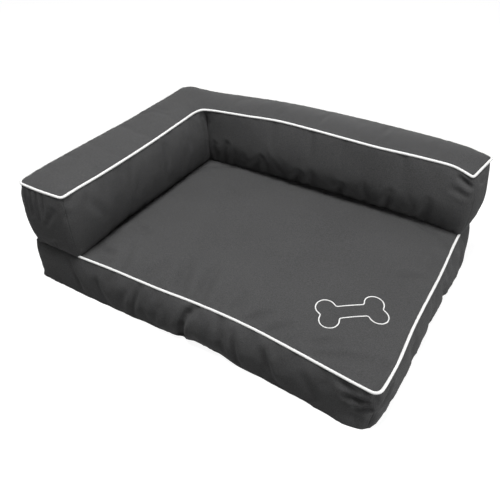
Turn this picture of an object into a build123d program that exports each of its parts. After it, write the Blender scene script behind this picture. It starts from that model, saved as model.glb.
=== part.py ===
# Dog sofa bed: a boxed mattress with an L-shaped boxed bolster sewn on its left and rear edges.
# Millimetres. X runs from the arm to the open right end, Y from the open front to the back,
# and Z up from the floor. The origin is the middle of the footprint, on the floor.
import os
from math import cos, pi, sin

from build123d import *

# Overall sizes, with the heights of the two piped seams
bed_width = 900
bed_depth = 650
mattress_height = 109
mattress_crown = 18
bolster_height = 273
bolster_crown = 8.5

# Bolster widths between its seams, at the foot and at the piped top
arm_foot_width = 143
arm_top_width = 141
back_foot_width = 99
back_top_width = 115

# How far the filled walls swell out from their seams at mid height
wall_swell = 13
end_swell = 6
rear_swell = 5

# How far a seam is drawn in at the middle of a side
mattress_top_draw = 13
mattress_foot_draw = 5
arm_top_draw = 6
back_top_draw = 9
bolster_foot_draw = 2

# Rounding of the upright corners at the seams
corner_radius = 28
end_radius = 12
crease_radius = 9
tuck_radius = 5

# Cloth, piping and fillings
fabric = 1.2
filling_ease = 0.3
crease_gap = 0.6
piping_radius = 2.5
piping_cloth = 0.6
cord_ease = 0.15
seam_ease = 0.3
foam_wrap = 12
foam_thickness = 72
foam_corner_radius = 18

# Zips: coil chain on two tapes behind the opening in the rear boxing, and its end stops
mattress_chain = 780
bolster_chain = 700
chain_gap = 1.2
coil_width = 2.1
coil_height = 1.4
coil_round = 0.5
tape_width = 14
tape_thickness = 0.6
tape_set_back = 0.4
tape_tail = 14
zip_opening = 15
opening_margin = 3
stop_length = 3.6
stop_height = 1.9
stop_overhang = 0.5
stop_round = 0.6
running_gap = 0.35

# Zip slider: two plates joined by the divider, with rails round the coil and a bridge for the pull
slider_length = 11
slider_width = 8.6
slider_waist = 7
slider_corner = 1.5
plate_thickness = 1
divider_length = 5
divider_thickness = 0.5
bridge_length = 7
bridge_width = 2.2
bridge_clear = 1.9
bridge_bar = 1
bridge_corner = 0.7

# Zip pull: a tab that turns on its own cross bar under the bridge
pull_length = 27
pull_width = 6.4
pull_tip_width = 4.8
pull_thickness = 1.2
pull_bar_radius = 0.62
pull_window = 4.6
pull_side_gap = 0.5
pull_corner = 1.4
pull_hole_radius = 1.1
pull_hole_margin = 3.2

# One overrun serves every cutting region
overrun = 40

# Levels up a wall, with a flat band at mid height for the zip, and over a crown
wall_level_shares = (0, 0.34, 0.66, 1)
crown_inset_shares = (0, 0.14, 0.5, 1)
crown_rise_shares = (0, 0.45, 0.9, 1)
mattress_crown_reach_share = 0.2
bolster_crown_reach_share = 0.34

# The forms are cut from chords: so many to each side in turn, and so many to a rounded corner
mattress_chords = (1, 6, 5, 1, 1, 1)
mattress_crown_chords = (6, 5, 1, 1)
bolster_chords = (1, 5, 6, 1, 1, 1)
corner_chords = 3
piping_flats = 6
cord_flats = 4

# Where the faces and seams lie. The zip pulls stand behind the rear wall, so the cloth stands forward.
coil_face_height = coil_height - tape_set_back - fabric
plate_top_height = coil_face_height + running_gap + plate_thickness
zip_proud = plate_top_height + bridge_clear + bridge_bar
cloth_front = -(bed_depth + zip_proud) / 2
rear_face = cloth_front + bed_depth
seam_left = -bed_width / 2 + wall_swell
seam_right = bed_width / 2 - wall_swell
seam_front = cloth_front + wall_swell
seam_rear = rear_face - rear_swell
arm_foot = seam_left + arm_foot_width
back_foot = seam_rear - back_foot_width
filling_skin = fabric + filling_ease


# How far a share is from the middle, squared: 1 at either end
def off_middle(share):
    return (2 * share - 1) ** 2


# How much of the seam's draw is left at a share of the wall's height: all at a seam, none in the flat band
def seam_pull(share):
    band = off_middle(wall_level_shares[1])
    return (off_middle(share) - band) / (1 - band)


# A smooth outline at a height: corners in order, anticlockwise, each side drawn in at its middle by its
# draw (not at all, where that is 0), and each corner rounded by its radius
def smooth_outline(height, corners, draws, radii):
    with BuildSketch(Plane.XY.offset(height)) as shape:
        with BuildLine():
            for start, end, draw in zip(corners, corners[1:] + corners[:1], draws):
                if draw == 0:
                    Line(start, end)
                else:
                    SagittaArc(start, end, draw)
        make_face()
        for corner, radius in zip(corners, radii):
            if radius > 0:
                fillet(shape.vertices().sort_by_distance(corner)[0], radius)
    return shape.sketch


# The same outline in chords, so many to each side. Its sides are drawn in between the rounded corners.
def chord_outline(height, corners, draws, radii, chords):
    places = [Vector(*corner) for corner in corners]
    points = []
    for index, corner in enumerate(places):
        following = (index + 1) % len(places)
        ahead = (places[following] - corner).normalized()
        behind = (places[index - 1] - corner).normalized()
        if radii[index] > 0:
            for step in range(corner_chords + 1):
                turn = pi / 2 * step / corner_chords
                points.append(corner + (behind * (1 - sin(turn)) + ahead * (1 - cos(turn))) * radii[index])
        else:
            points.append(corner)
        start = corner + ahead * radii[index]
        end = places[following] - ahead * radii[following]
        inward = Vector(-ahead.Y, ahead.X)
        for step in range(1, chords[index]):
            share = step / chords[index]
            points.append(start + (end - start) * share + inward * draws[index] * (1 - off_middle(share)))
    return Plane.XY.offset(height) * Polygon(*points, align=None)


# The draw of a side at a share of the wall's height, from that of its foot and its top seam
def side_draw(share, foot_draw, top_draw):
    return seam_pull(share) * (foot_draw + (top_draw - foot_draw) * share)


# The mattress walls' outline at a share of their height, set in by a skin depth or let out by a negative one
def mattress_outline(height, share, skin, smooth=False):
    slack = 1 - seam_pull(share)
    left = seam_left - wall_swell * slack + skin
    right = seam_right + wall_swell * slack - skin
    front = seam_front - wall_swell * slack + skin
    rear = seam_rear + rear_swell * slack - skin
    corners = [(left, front), (arm_foot, front), (right, front), (right, back_foot), (right, rear), (left, rear)]
    draw = side_draw(share, mattress_foot_draw, mattress_top_draw)
    draws = (0, draw, draw, 0, 0, 0)
    radius = corner_radius - skin
    radii = (radius, 0, radius, 0, radius, radius)
    if smooth:
        return smooth_outline(height, corners, draws, radii)
    return chord_outline(height, corners, draws, radii, mattress_chords)


# One level of the mattress crown, which covers the lying surface between the piped seam and the creases
def mattress_crown_outline(inset_share, rise_share, skin):
    reach = mattress_crown_reach_share * (back_foot - seam_front)
    inset = crease_gap + skin + inset_share * reach
    left = arm_foot + inset
    right = seam_right - inset
    front = seam_front + inset
    rear = back_foot - inset
    front_draw = mattress_top_draw * (right - left) / (seam_right - arm_foot)
    right_draw = mattress_top_draw * (rear - front) / (back_foot - seam_front)
    radii = (tuck_radius, corner_radius, tuck_radius, crease_radius)
    height = mattress_height - skin + rise_share * mattress_crown
    corners = [(left, front), (right, front), (right, rear), (left, rear)]
    return chord_outline(height, corners, (front_draw, right_draw, 0, 0), radii, mattress_crown_chords)


# The corners of the bolster's L-shaped plan at a share of its height, its walls, ends and rear let out
def bolster_corners(share, walls, ends, rear):
    arm_width = arm_foot_width + (arm_top_width - arm_foot_width) * share
    back_width = back_foot_width + (back_top_width - back_foot_width) * share
    left = seam_left - walls
    front = seam_front - ends
    right = seam_right + ends
    behind = seam_rear + rear
    arm = seam_left + arm_width + walls
    back = seam_rear - back_width - walls
    return [(left, front), (arm, front), (arm, back), (right, back), (right, behind), (left, behind)]


# The rounding of the bolster's corners. Its outer ones sharpen towards the middle of the crown.
def bolster_radii(skin, inset_share):
    inner = end_radius - skin
    outer = inner + (corner_radius - end_radius) * (1 - inset_share)
    return (outer, inner, crease_radius + skin, inner, outer, outer)


# The bolster walls' outline at a share of their height, set in by a skin depth or let out by a negative one
def bolster_outline(height, share, skin, smooth=False):
    slack = 1 - seam_pull(share)
    swell = wall_swell * slack - skin
    corners = bolster_corners(share, swell, end_swell * slack - skin, rear_swell * slack - skin)
    arm = side_draw(share, bolster_foot_draw, arm_top_draw)
    back = side_draw(share, bolster_foot_draw, back_top_draw)
    draws = (0, arm, back, 0, 0, 0)
    radii = bolster_radii(skin, 0)
    if smooth:
        return smooth_outline(height, corners, draws, radii)
    return chord_outline(height, corners, draws, radii, bolster_chords)


# One level of the bolster crown, on which each side keeps its curve as it gets shorter
def bolster_crown_outline(inset_share, rise_share, skin):
    reach = bolster_crown_reach_share * back_top_width
    inset = skin + inset_share * reach
    corners = bolster_corners(1, -inset, -inset, -inset)
    arm_pull = 1 - 2 * inset / (back_foot - seam_front)
    back_pull = 1 - 2 * inset / (seam_right - arm_foot)
    draws = (0, arm_top_draw * arm_pull, back_top_draw * back_pull, 0, 0, 0)
    height = bolster_height - skin + rise_share * bolster_crown
    return chord_outline(height, corners, draws, bolster_radii(skin, inset_share), bolster_chords)


# A cushion's whole form between two heights: the outside of its cloth, the inside of it, or its filling
def cushion_form(wall_outline, crown_outline, foot, top, skin):
    walls = [
        wall_outline(foot + skin + share * (top - foot - 2 * skin), share, skin) for share in wall_level_shares
    ]
    crown = [
        crown_outline(inset_share, rise_share, skin)
        for inset_share, rise_share in zip(crown_inset_shares, crown_rise_shares)
    ]
    with BuildPart() as form:
        loft(walls, ruled=True)
        loft(crown, ruled=True)
    return form.part


def mattress_form(skin):
    return cushion_form(mattress_outline, mattress_crown_outline, 0, mattress_height, skin)


def bolster_form(skin):
    return cushion_form(bolster_outline, bolster_crown_outline, mattress_height, bolster_height, skin)


# The hollow cloth of a cushion
def shell(outside, inside):
    with BuildPart() as cloth:
        add(outside)
        add(inside, mode=Mode.SUBTRACT)
    return cloth.part


# An upright block over a plan, used to part the cloth into its panels
def block(plan, low, high):
    with BuildPart() as region:
        with BuildSketch(Plane.XY.offset(low)):
            Polygon(*plan, align=None)
        extrude(amount=high - low)
    return region.part


# The square groove round a top seam in which the piping lies, open to the outside
def seam_groove(wall_outline, seam_height):
    room = piping_radius + seam_ease
    outer_edge = wall_outline(seam_height - room, 1, -2 * room, smooth=True)
    inner_edge = wall_outline(seam_height - room, 1, room, smooth=True)
    with BuildPart() as groove:
        extrude(outer_edge, amount=2 * room)
        extrude(inner_edge, amount=2 * room, mode=Mode.SUBTRACT)
    return groove.part


# A bar along a path, rounded off with a few flats
def bar(path, radius, flats):
    with BuildPart() as rod:
        with BuildSketch(Plane(origin=path @ 0, z_dir=path % 0)):
            RegularPolygon(radius, flats)
        sweep(path=path)
    return rod.part


pieces = []


# Keep a finished piece under its name
def keep(piece, name):
    piece.label = name
    pieces.append(piece)


# Mattress piping, on the open front and right of the top seam
with BuildLine(Plane.XY.offset(mattress_height)) as mattress_seam:
    SagittaArc((arm_foot, seam_front), (seam_right, seam_front), mattress_top_draw)
    SagittaArc((seam_right, seam_front), (seam_right, back_foot), mattress_top_draw)
    fillet(mattress_seam.vertices().sort_by_distance((seam_right, seam_front, mattress_height))[0], corner_radius)
mattress_seam_path = mattress_seam.wire()

# Bolster piping, all round the top seam
bolster_seam_path = bolster_outline(bolster_height, 1, 0, smooth=True).face().outer_wire()

for cushion, path in (("mattress", mattress_seam_path), ("bolster", bolster_seam_path)):
    cloth_outside = bar(path, piping_radius, piping_flats)
    cloth_inside = bar(path, piping_radius - piping_cloth, cord_flats)
    with BuildPart() as piping:
        add(cloth_outside)
        add(cloth_inside, mode=Mode.SUBTRACT)
    keep(piping.part, f"{cushion}_piping")
    keep(bar(path, piping_radius - piping_cloth - cord_ease, cord_flats), f"{cushion}_piping_cord")

# Only the open front and right of the mattress seam have a groove
groove_left = arm_foot - crease_gap
groove_rear = back_foot + crease_gap
open_sides = block(
    (
        (groove_left, seam_front - overrun),
        (seam_right + overrun, seam_front - overrun),
        (seam_right + overrun, groove_rear),
        (groove_left, groove_rear),
    ),
    0,
    bolster_height,
)
mattress_seam_groove = seam_groove(mattress_outline, mattress_height)
with BuildPart() as mattress_groove:
    add(mattress_seam_groove)
    add(open_sides, mode=Mode.INTERSECT)
grooves = {"mattress": mattress_groove.part, "bolster": seam_groove(bolster_outline, bolster_height)}

# Mattress cover. Its corner seams run up the middle of each rounded corner.
mattress_shell = shell(mattress_form(0), mattress_form(fabric))
middle = (seam_front + seam_rear) / 2
half_depth = (seam_rear - seam_front) / 2
left_spine = (seam_left + half_depth, middle)
right_spine = (seam_right - half_depth, middle)
front_left = (seam_left - overrun, seam_front - overrun)
front_right = (seam_right + overrun, seam_front - overrun)
rear_right = (seam_right + overrun, seam_rear + overrun)
rear_left = (seam_left - overrun, seam_rear + overrun)
footprint = (front_left, front_right, rear_right, rear_left)
mattress_zip_height = mattress_height / 2
mattress_rim = mattress_height - fabric

mattress_panels = {
    "mattress_bottom_panel": block(footprint, 0, fabric),
    "mattress_front_boxing": block((front_left, front_right, right_spine, left_spine), fabric, mattress_rim),
    "mattress_right_boxing": block((front_right, rear_right, right_spine), fabric, mattress_rim),
    "mattress_left_boxing": block((rear_left, front_left, left_spine), fabric, mattress_rim),
    "mattress_rear_boxing_lower": block(
        (rear_right, rear_left, left_spine, right_spine), fabric, mattress_zip_height
    ),
    "mattress_rear_boxing_upper": block(
        (rear_right, rear_left, left_spine, right_spine), mattress_zip_height, mattress_rim
    ),
    "mattress_top_panel": block(footprint, mattress_rim, mattress_height + mattress_crown + overrun),
}

# Bolster cover
bolster_shell = shell(bolster_form(0), bolster_form(fabric))
arm_top = seam_left + arm_top_width
back_top = seam_rear - back_top_width
arm_spine = ((seam_left + arm_top) / 2, seam_front + arm_top_width / 2)
corner_spine = ((seam_left + arm_top) / 2, (back_top + seam_rear) / 2)
back_spine = (seam_right - back_top_width / 2, (back_top + seam_rear) / 2)
arm_end_corner = (arm_top + overrun, seam_front - overrun)
back_end_corner = (seam_right + overrun, back_top - overrun)
inner_corner = (arm_top + arm_top_width / 2, back_top - back_top_width / 2)
bolster_zip_height = (mattress_height + bolster_height) / 2
bolster_base = mattress_height + fabric
bolster_rim = bolster_height - fabric

bolster_panels = {
    "bolster_bottom_panel": block(footprint, mattress_height, bolster_base),
    "bolster_arm_end_panel": block((front_left, arm_end_corner, arm_spine), bolster_base, bolster_rim),
    "bolster_arm_inner_wall": block(
        (arm_end_corner, inner_corner, corner_spine, arm_spine), bolster_base, bolster_rim
    ),
    "bolster_back_inner_wall": block(
        (inner_corner, back_end_corner, back_spine, corner_spine), bolster_base, bolster_rim
    ),
    "bolster_back_end_panel": block((back_end_corner, rear_right, back_spine), bolster_base, bolster_rim),
    "bolster_rear_wall_lower": block(
        (rear_right, rear_left, corner_spine, back_spine), bolster_base, bolster_zip_height
    ),
    "bolster_rear_wall_upper": block(
        (rear_right, rear_left, corner_spine, back_spine), bolster_zip_height, bolster_rim
    ),
    "bolster_arm_outer_wall": block((rear_left, front_left, arm_spine, corner_spine), bolster_base, bolster_rim),
    "bolster_top_panel": block(footprint, bolster_rim, bolster_height + bolster_crown + overrun),
}


# The opening in a rear wall that shows the zip
def zip_slot(zip_height, chain):
    length = chain + 2 * (stop_length + opening_margin)
    with BuildPart() as slot:
        with BuildSketch(Plane.XZ.offset(-rear_face - overrun)):
            with Locations((0, zip_height)):
                Rectangle(length, zip_opening)
        extrude(amount=2 * overrun)
    return slot.part


covers = (
    ("mattress", mattress_shell, mattress_panels, mattress_zip_height, mattress_chain),
    ("bolster", bolster_shell, bolster_panels, bolster_zip_height, bolster_chain),
)
for cushion, cloth, panels, zip_height, chain in covers:
    slot = zip_slot(zip_height, chain)
    for name, region in panels.items():
        with BuildPart() as panel:
            add(cloth)
            add(region, mode=Mode.INTERSECT)
            add(grooves[cushion], mode=Mode.SUBTRACT)
            if "rear" in name:
                add(slot, mode=Mode.SUBTRACT)
        keep(panel.part, name)


# Room in a filling for the zip's tapes and for the inner plate of its slider
def zip_room(zip_height, chain):
    tape_inside = rear_face - fabric - tape_set_back - tape_thickness
    tape_room_height = chain_gap + 2 * (tape_width + filling_ease)
    tape_room_length = chain + 2 * (stop_length + tape_tail + filling_ease)
    plate_room_depth = 2 * running_gap + plate_thickness
    with BuildPart() as room:
        with BuildSketch(Plane.XZ.offset(-rear_face)):
            with Locations((0, zip_height)):
                Rectangle(tape_room_length, tape_room_height)
        extrude(amount=rear_face - tape_inside + filling_ease)
        with BuildSketch(Plane.XZ.offset(-rear_face)):
            with Locations((0, zip_height)):
                Rectangle(chain + 2 * running_gap, slider_width + 2 * running_gap)
        extrude(amount=rear_face - tape_inside + plate_room_depth)
    return room.part


# Mattress filling: a foam slab with its cut edges, wrapped all round in crowned wadding
foam_base = filling_skin + foam_wrap
foam_plan = (
    (seam_left + foam_wrap + filling_skin, seam_front + foam_wrap + mattress_top_draw),
    (seam_right - foam_wrap - mattress_top_draw, seam_rear - foam_wrap - filling_skin),
)


def foam_slab(ease):
    (left, front), (right, rear) = foam_plan
    with BuildPart() as slab:
        with BuildSketch(Plane.XY.offset(foam_base - ease)):
            with Locations(((left + right) / 2, (front + rear) / 2)):
                RectangleRounded(right - left + 2 * ease, rear - front + 2 * ease, foam_corner_radius + ease)
        extrude(amount=foam_thickness + 2 * ease)
    return slab.part


keep(foam_slab(0), "mattress_foam")
foam_room = foam_slab(filling_ease)
mattress_zip_room = zip_room(mattress_zip_height, mattress_chain)
mattress_filling = mattress_form(filling_skin)
with BuildPart() as mattress_wadding:
    add(mattress_filling)
    add(foam_room, mode=Mode.SUBTRACT)
    add(mattress_zip_room, mode=Mode.SUBTRACT)
    add(grooves["mattress"], mode=Mode.SUBTRACT)
keep(mattress_wadding.part, "mattress_wadding")

# Bolster fillings: one bag of fibre in the arm and one in the back, meeting on the mitre of the corner
bolster_zip_room = zip_room(bolster_zip_height, bolster_chain)
bolster_filling = bolster_form(filling_skin)
outer_corner = (seam_left - arm_top_width / 2, seam_rear + back_top_width / 2)
filling_top = bolster_height + overrun
arm_side = block((front_left, arm_end_corner, inner_corner, outer_corner), mattress_height, filling_top)
back_side = block(
    (
        (inner_corner[0] + filling_ease, inner_corner[1] + filling_ease),
        back_end_corner,
        rear_right,
        (outer_corner[0] + filling_ease, outer_corner[1] + filling_ease),
    ),
    mattress_height,
    filling_top,
)
for name, side in (("bolster_arm_filling", arm_side), ("bolster_back_filling", back_side)):
    with BuildPart() as filling:
        add(bolster_filling)
        add(side, mode=Mode.INTERSECT)
        add(bolster_zip_room, mode=Mode.SUBTRACT)
        add(grooves["bolster"], mode=Mode.SUBTRACT)
    keep(filling.part, name)

# Zips
tape_face = rear_face - fabric - tape_set_back
plate_face = tape_face + coil_height + running_gap
plate_top = plate_face + plate_thickness
pull_axis = plate_top + bridge_clear / 2
coil_centre = (chain_gap + coil_width) / 2
tape_centre = (chain_gap + tape_width) / 2
channel_width = chain_gap + 2 * (coil_width + running_gap)


for cushion, zip_height, chain in (
    ("mattress", mattress_zip_height, mattress_chain),
    ("bolster", bolster_zip_height, bolster_chain),
):
    # The slider rests at the closed end of the chain
    slider_rest = -chain / 2 + running_gap + slider_length / 2

    for half, up in (("upper", 1), ("lower", -1)):
        with BuildPart() as tape:
            with BuildSketch(Plane.XZ.offset(-tape_face)):
                with Locations((0, zip_height + up * tape_centre)):
                    Rectangle(chain + 2 * (stop_length + tape_tail), tape_width)
            extrude(amount=tape_thickness)
        keep(tape.part, f"{cushion}_zip_tape_{half}")

        with BuildPart() as coil:
            with BuildSketch(Plane.YZ.offset(-chain / 2)) as coil_section:
                with Locations((tape_face, zip_height + up * coil_centre)):
                    Rectangle(coil_height, coil_width, align=(Align.MIN, Align.CENTER))
                fillet(coil_section.vertices().group_by(Axis.X)[-1], coil_round)
            extrude(amount=chain)
        keep(coil.part, f"{cushion}_zip_coil_{half}")

    with BuildPart() as stops:
        with BuildSketch(Plane.XZ.offset(-tape_face)):
            with Locations(
                (-(chain + stop_length) / 2, zip_height),
                ((chain + stop_length) / 2, zip_height),
            ):
                Rectangle(stop_length, chain_gap + 2 * (coil_width + stop_overhang))
        extrude(amount=-stop_height)
        fillet(stops.faces().sort_by(Axis.Y)[-2:].edges().filter_by(Axis.X), stop_round)
    keep(stops.part, f"{cushion}_zip_stops")

    # Slider: wide shoulders towards the closed end and a narrower waist behind
    nose = slider_rest - slider_length / 2
    tail = slider_rest + slider_length / 2
    with BuildSketch() as plate:
        with BuildLine():
            Polyline(
                (nose, zip_height - slider_width / 2),
                (slider_rest, zip_height - slider_width / 2),
                (tail, zip_height - slider_waist / 2),
                (tail, zip_height + slider_waist / 2),
                (slider_rest, zip_height + slider_width / 2),
                (nose, zip_height + slider_width / 2),
                close=True,
            )
        make_face()
        fillet(plate.vertices(), slider_corner)

    with BuildPart() as slider:
        with BuildSketch(Plane.XZ.offset(-plate_top)):
            add(plate.sketch)
        extrude(amount=plate_thickness)
        with BuildSketch(Plane.XZ.offset(-plate_face)):
            add(plate.sketch)
            with Locations((slider_rest, zip_height)):
                Rectangle(2 * slider_length, channel_width, mode=Mode.SUBTRACT)
        extrude(amount=coil_height)
        with BuildSketch(Plane.XZ.offset(-tape_face + tape_thickness + running_gap)):
            add(plate.sketch)
        extrude(amount=plate_thickness)
        with BuildSketch(Plane.XZ.offset(-plate_face)):
            with Locations((nose + slider_corner + divider_length / 2, zip_height)):
                SlotOverall(divider_length, divider_thickness)
        extrude(amount=plate_face - tape_face + tape_thickness + running_gap)
        with BuildSketch(Plane.XY.offset(zip_height - bridge_width / 2)) as bridge:
            with Locations((slider_rest, plate_top)):
                Rectangle(bridge_length, bridge_clear + bridge_bar, align=(Align.CENTER, Align.MIN))
            fillet(bridge.vertices().group_by(Axis.Y)[-1], bridge_corner)
            with Locations((slider_rest, plate_top)):
                Rectangle(
                    bridge_length - 2 * bridge_bar,
                    bridge_clear,
                    align=(Align.CENTER, Align.MIN),
                    mode=Mode.SUBTRACT,
                )
        extrude(amount=bridge_width)
    keep(slider.part, f"{cushion}_zip_slider")

    # Pull: it lies back along the closed chain
    with BuildPart() as pull:
        with BuildSketch(Plane.XZ.offset(-pull_axis - pull_thickness / 2)) as tab:
            with BuildLine():
                Polyline(
                    (slider_rest, zip_height - pull_width / 2),
                    (slider_rest + pull_length, zip_height - pull_tip_width / 2),
                    (slider_rest + pull_length, zip_height + pull_tip_width / 2),
                    (slider_rest, zip_height + pull_width / 2),
                    close=True,
                )
            make_face()
            fillet(tab.vertices().group_by(Axis.X)[-1], pull_corner)
            with Locations((slider_rest + pull_bar_radius, zip_height)):
                Rectangle(
                    pull_window,
                    bridge_width + 2 * pull_side_gap,
                    align=(Align.MIN, Align.CENTER),
                    mode=Mode.SUBTRACT,
                )
            with Locations((slider_rest + pull_length - pull_hole_margin, zip_height)):
                Circle(pull_hole_radius, mode=Mode.SUBTRACT)
        extrude(amount=pull_thickness)
        with BuildSketch(Plane.XY.offset(zip_height - pull_width / 2)):
            with Locations((slider_rest, pull_axis)):
                Circle(pull_bar_radius)
        extrude(amount=pull_width)
    keep(pull.part, f"{cushion}_zip_pull")

os.makedirs("parts", exist_ok=True)
for piece in pieces:
    export_step(piece, f"parts/{piece.label}.step")
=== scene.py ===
# Dog sofa bed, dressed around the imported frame. Metres: X to the open right end, Y to the back, Z up.
import math

import bmesh
import bpy
import numpy as np
from mathutils import Matrix, Vector
from mathutils.bvhtree import BVHTree


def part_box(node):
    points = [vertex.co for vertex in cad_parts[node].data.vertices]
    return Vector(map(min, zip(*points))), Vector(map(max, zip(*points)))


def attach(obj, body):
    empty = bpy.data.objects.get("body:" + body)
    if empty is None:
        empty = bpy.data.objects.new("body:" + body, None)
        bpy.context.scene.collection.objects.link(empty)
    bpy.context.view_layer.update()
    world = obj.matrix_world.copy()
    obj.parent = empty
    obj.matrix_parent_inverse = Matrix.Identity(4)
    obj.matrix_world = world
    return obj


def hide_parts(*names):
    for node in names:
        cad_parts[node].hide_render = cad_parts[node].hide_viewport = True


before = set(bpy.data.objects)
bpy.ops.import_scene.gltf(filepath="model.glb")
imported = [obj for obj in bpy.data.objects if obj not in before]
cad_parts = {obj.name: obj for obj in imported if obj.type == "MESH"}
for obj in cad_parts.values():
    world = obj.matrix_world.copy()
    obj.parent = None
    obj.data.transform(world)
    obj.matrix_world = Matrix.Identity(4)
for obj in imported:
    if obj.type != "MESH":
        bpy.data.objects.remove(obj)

scene = bpy.context.scene
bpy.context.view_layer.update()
print("frame loaded:", len(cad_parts), "nodes")

# Where the seams lie, shared by both cushions
bed = {
    "left": -0.437, "right": 0.437, "front": -0.314025, "rear": 0.317975, "armFoot": -0.294, "backFoot": 0.218975,
    "mattressTop": 0.109, "bolsterTop": 0.273, "cloth": 0.0012,
}
hair = 1e-5  # anything nearer than this touches


# Materials

class Wire:  # an output socket that takes part in sums
    def __init__(self, paint, socket):
        self.paint, self.socket = paint, socket

    def math(self, operation, *values):
        return self.paint.node("ShaderNodeMath", {"operation": operation}, dict(enumerate(values)))

    def __add__(self, other): return self.math("ADD", self, other)
    def __radd__(self, other): return self.math("ADD", other, self)
    def __sub__(self, other): return self.math("SUBTRACT", self, other)
    def __rsub__(self, other): return self.math("SUBTRACT", other, self)
    def __mul__(self, other): return self.math("MULTIPLY", self, other)
    def __rmul__(self, other): return self.math("MULTIPLY", other, self)
    def __truediv__(self, other): return self.math("DIVIDE", self, other)
    def __mod__(self, other): return self.math("FLOORED_MODULO", self, other)
    def __lt__(self, other): return self.math("LESS_THAN", self, other)
    def __abs__(self): return self.math("ABSOLUTE", self)
    def floor(self): return self.math("FLOOR", self)
    def sine(self): return self.math("SINE", self)
    def root(self): return self.math("SQRT", self)
    def most(self, other): return self.math("MAXIMUM", self, other)
    def ridges(self, pitch): return abs((self * (math.pi / pitch)).sine())  # rounded, one every pitch


class Paint:  # the nodes of a new material, or of the world
    def __init__(self, name, owner=None):
        self.owner = owner or bpy.data.materials.new(name)
        self.owner.use_nodes = True
        self.tree = self.owner.node_tree
        self.tree.nodes.clear()

    def node(self, kind, settings=None, inputs=None, output=0):
        made = self.tree.nodes.new(kind)
        for key, value in (settings or {}).items():
            if key == "stops":
                for stop, (place, colour) in zip(made.color_ramp.elements, value):
                    stop.position, stop.color = place, colour
            else:
                setattr(made, key, value)
        for key, value in (inputs or {}).items():
            if isinstance(value, Wire):
                self.tree.links.new(value.socket, made.inputs[key])
            else:
                made.inputs[key].default_value = value
        return Wire(self, made.outputs[output]) if made.outputs else made

    def place(self, source="Object"):  # x, y and z of the piece, or u and v of its cloth
        if source == "Object":
            point = self.node("ShaderNodeTexCoord", output="Object")
        else:
            point = self.node("ShaderNodeUVMap", {"uv_map": source})
        split = self.node("ShaderNodeSeparateXYZ", inputs={0: point})
        return point, [Wire(self, part) for part in split.socket.node.outputs]

    def noise(self, point, scale, detail=2.0, roughness=0.5):
        return self.node("ShaderNodeTexNoise", inputs={
            "Vector": point, "Scale": scale, "Detail": detail, "Roughness": roughness})

    def mix(self, factor, first, second):
        return self.node("ShaderNodeMix", {"data_type": "RGBA"}, {0: factor, 6: first, 7: second}, output=2)

    def bump(self, height, distance, strength):
        return self.node("ShaderNodeBump", inputs={"Height": height, "Distance": distance, "Strength": strength})

    def finish(self, **inputs):
        named = {key.replace("_", " "): value for key, value in inputs.items()}
        shader = self.node("ShaderNodeBsdfPrincipled", inputs=named)
        self.node("ShaderNodeOutputMaterial", inputs={0: shader})
        return self.owner


# Cushion forms: a block is sliced in the flat, and every point is then carried to the stuffed shape

def slices(low, high, pitch, extra):  # even cuts, which give way to the extra ones they come near
    count = max(1, round((high - low) / pitch))
    even = [low + (high - low) * step / count for step in range(1, count)]
    kept = [place for place in even if all(abs(place - other) > 0.4 * pitch for other in extra)]
    return sorted(kept + [place for place in extra if low + 1e-4 < place < high - 1e-4])


def cutBlock(bm, cuts):
    for axis, places in enumerate(cuts):
        normal = [float(axis == i) for i in range(3)]
        for place in places:
            bmesh.ops.bisect_plane(
                bm, geom=bm.verts[:] + bm.edges[:] + bm.faces[:], dist=1e-6,
                plane_co=[place * side for side in normal], plane_no=normal)


def boxBetween(bm, low, high):
    low, high = Vector(low), Vector(high)
    size = Matrix.Diagonal((*(high - low), 1))
    bmesh.ops.create_cube(bm, size=1, matrix=Matrix.Translation((low + high) / 2) @ size)


def readCurve(knots, place):  # a smooth curve through a few measured knots
    xs, ys = np.array(knots, float).T
    slope = np.gradient(ys, xs)
    i = np.clip(np.searchsorted(xs, place) - 1, 0, len(xs) - 2)
    width = xs[i + 1] - xs[i]
    t = np.clip((place - xs[i]) / width, 0, 1)
    return (ys[i] * (1 + 2 * t) * (1 - t) ** 2 + ys[i + 1] * t * t * (3 - 2 * t)
            + width * (slope[i] * t * (1 - t) ** 2 + slope[i + 1] * t * t * (t - 1)))


def onSide(flat, start, end):  # depth inward from a wall's line, share along it, and whether a point is beside it
    start, end = np.array(start), np.array(end)
    length = np.linalg.norm(end - start)
    along = (end - start) / length
    inward = np.array((-along[1], along[0]))
    depth = (flat[:, :2] - start) @ inward
    share = (flat[:, :2] - start) @ along / length
    beside = (np.abs(share - 0.5) < 0.5001) & (depth > -hair)
    return depth, np.clip(share, 0, 1), beside, inward


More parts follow.
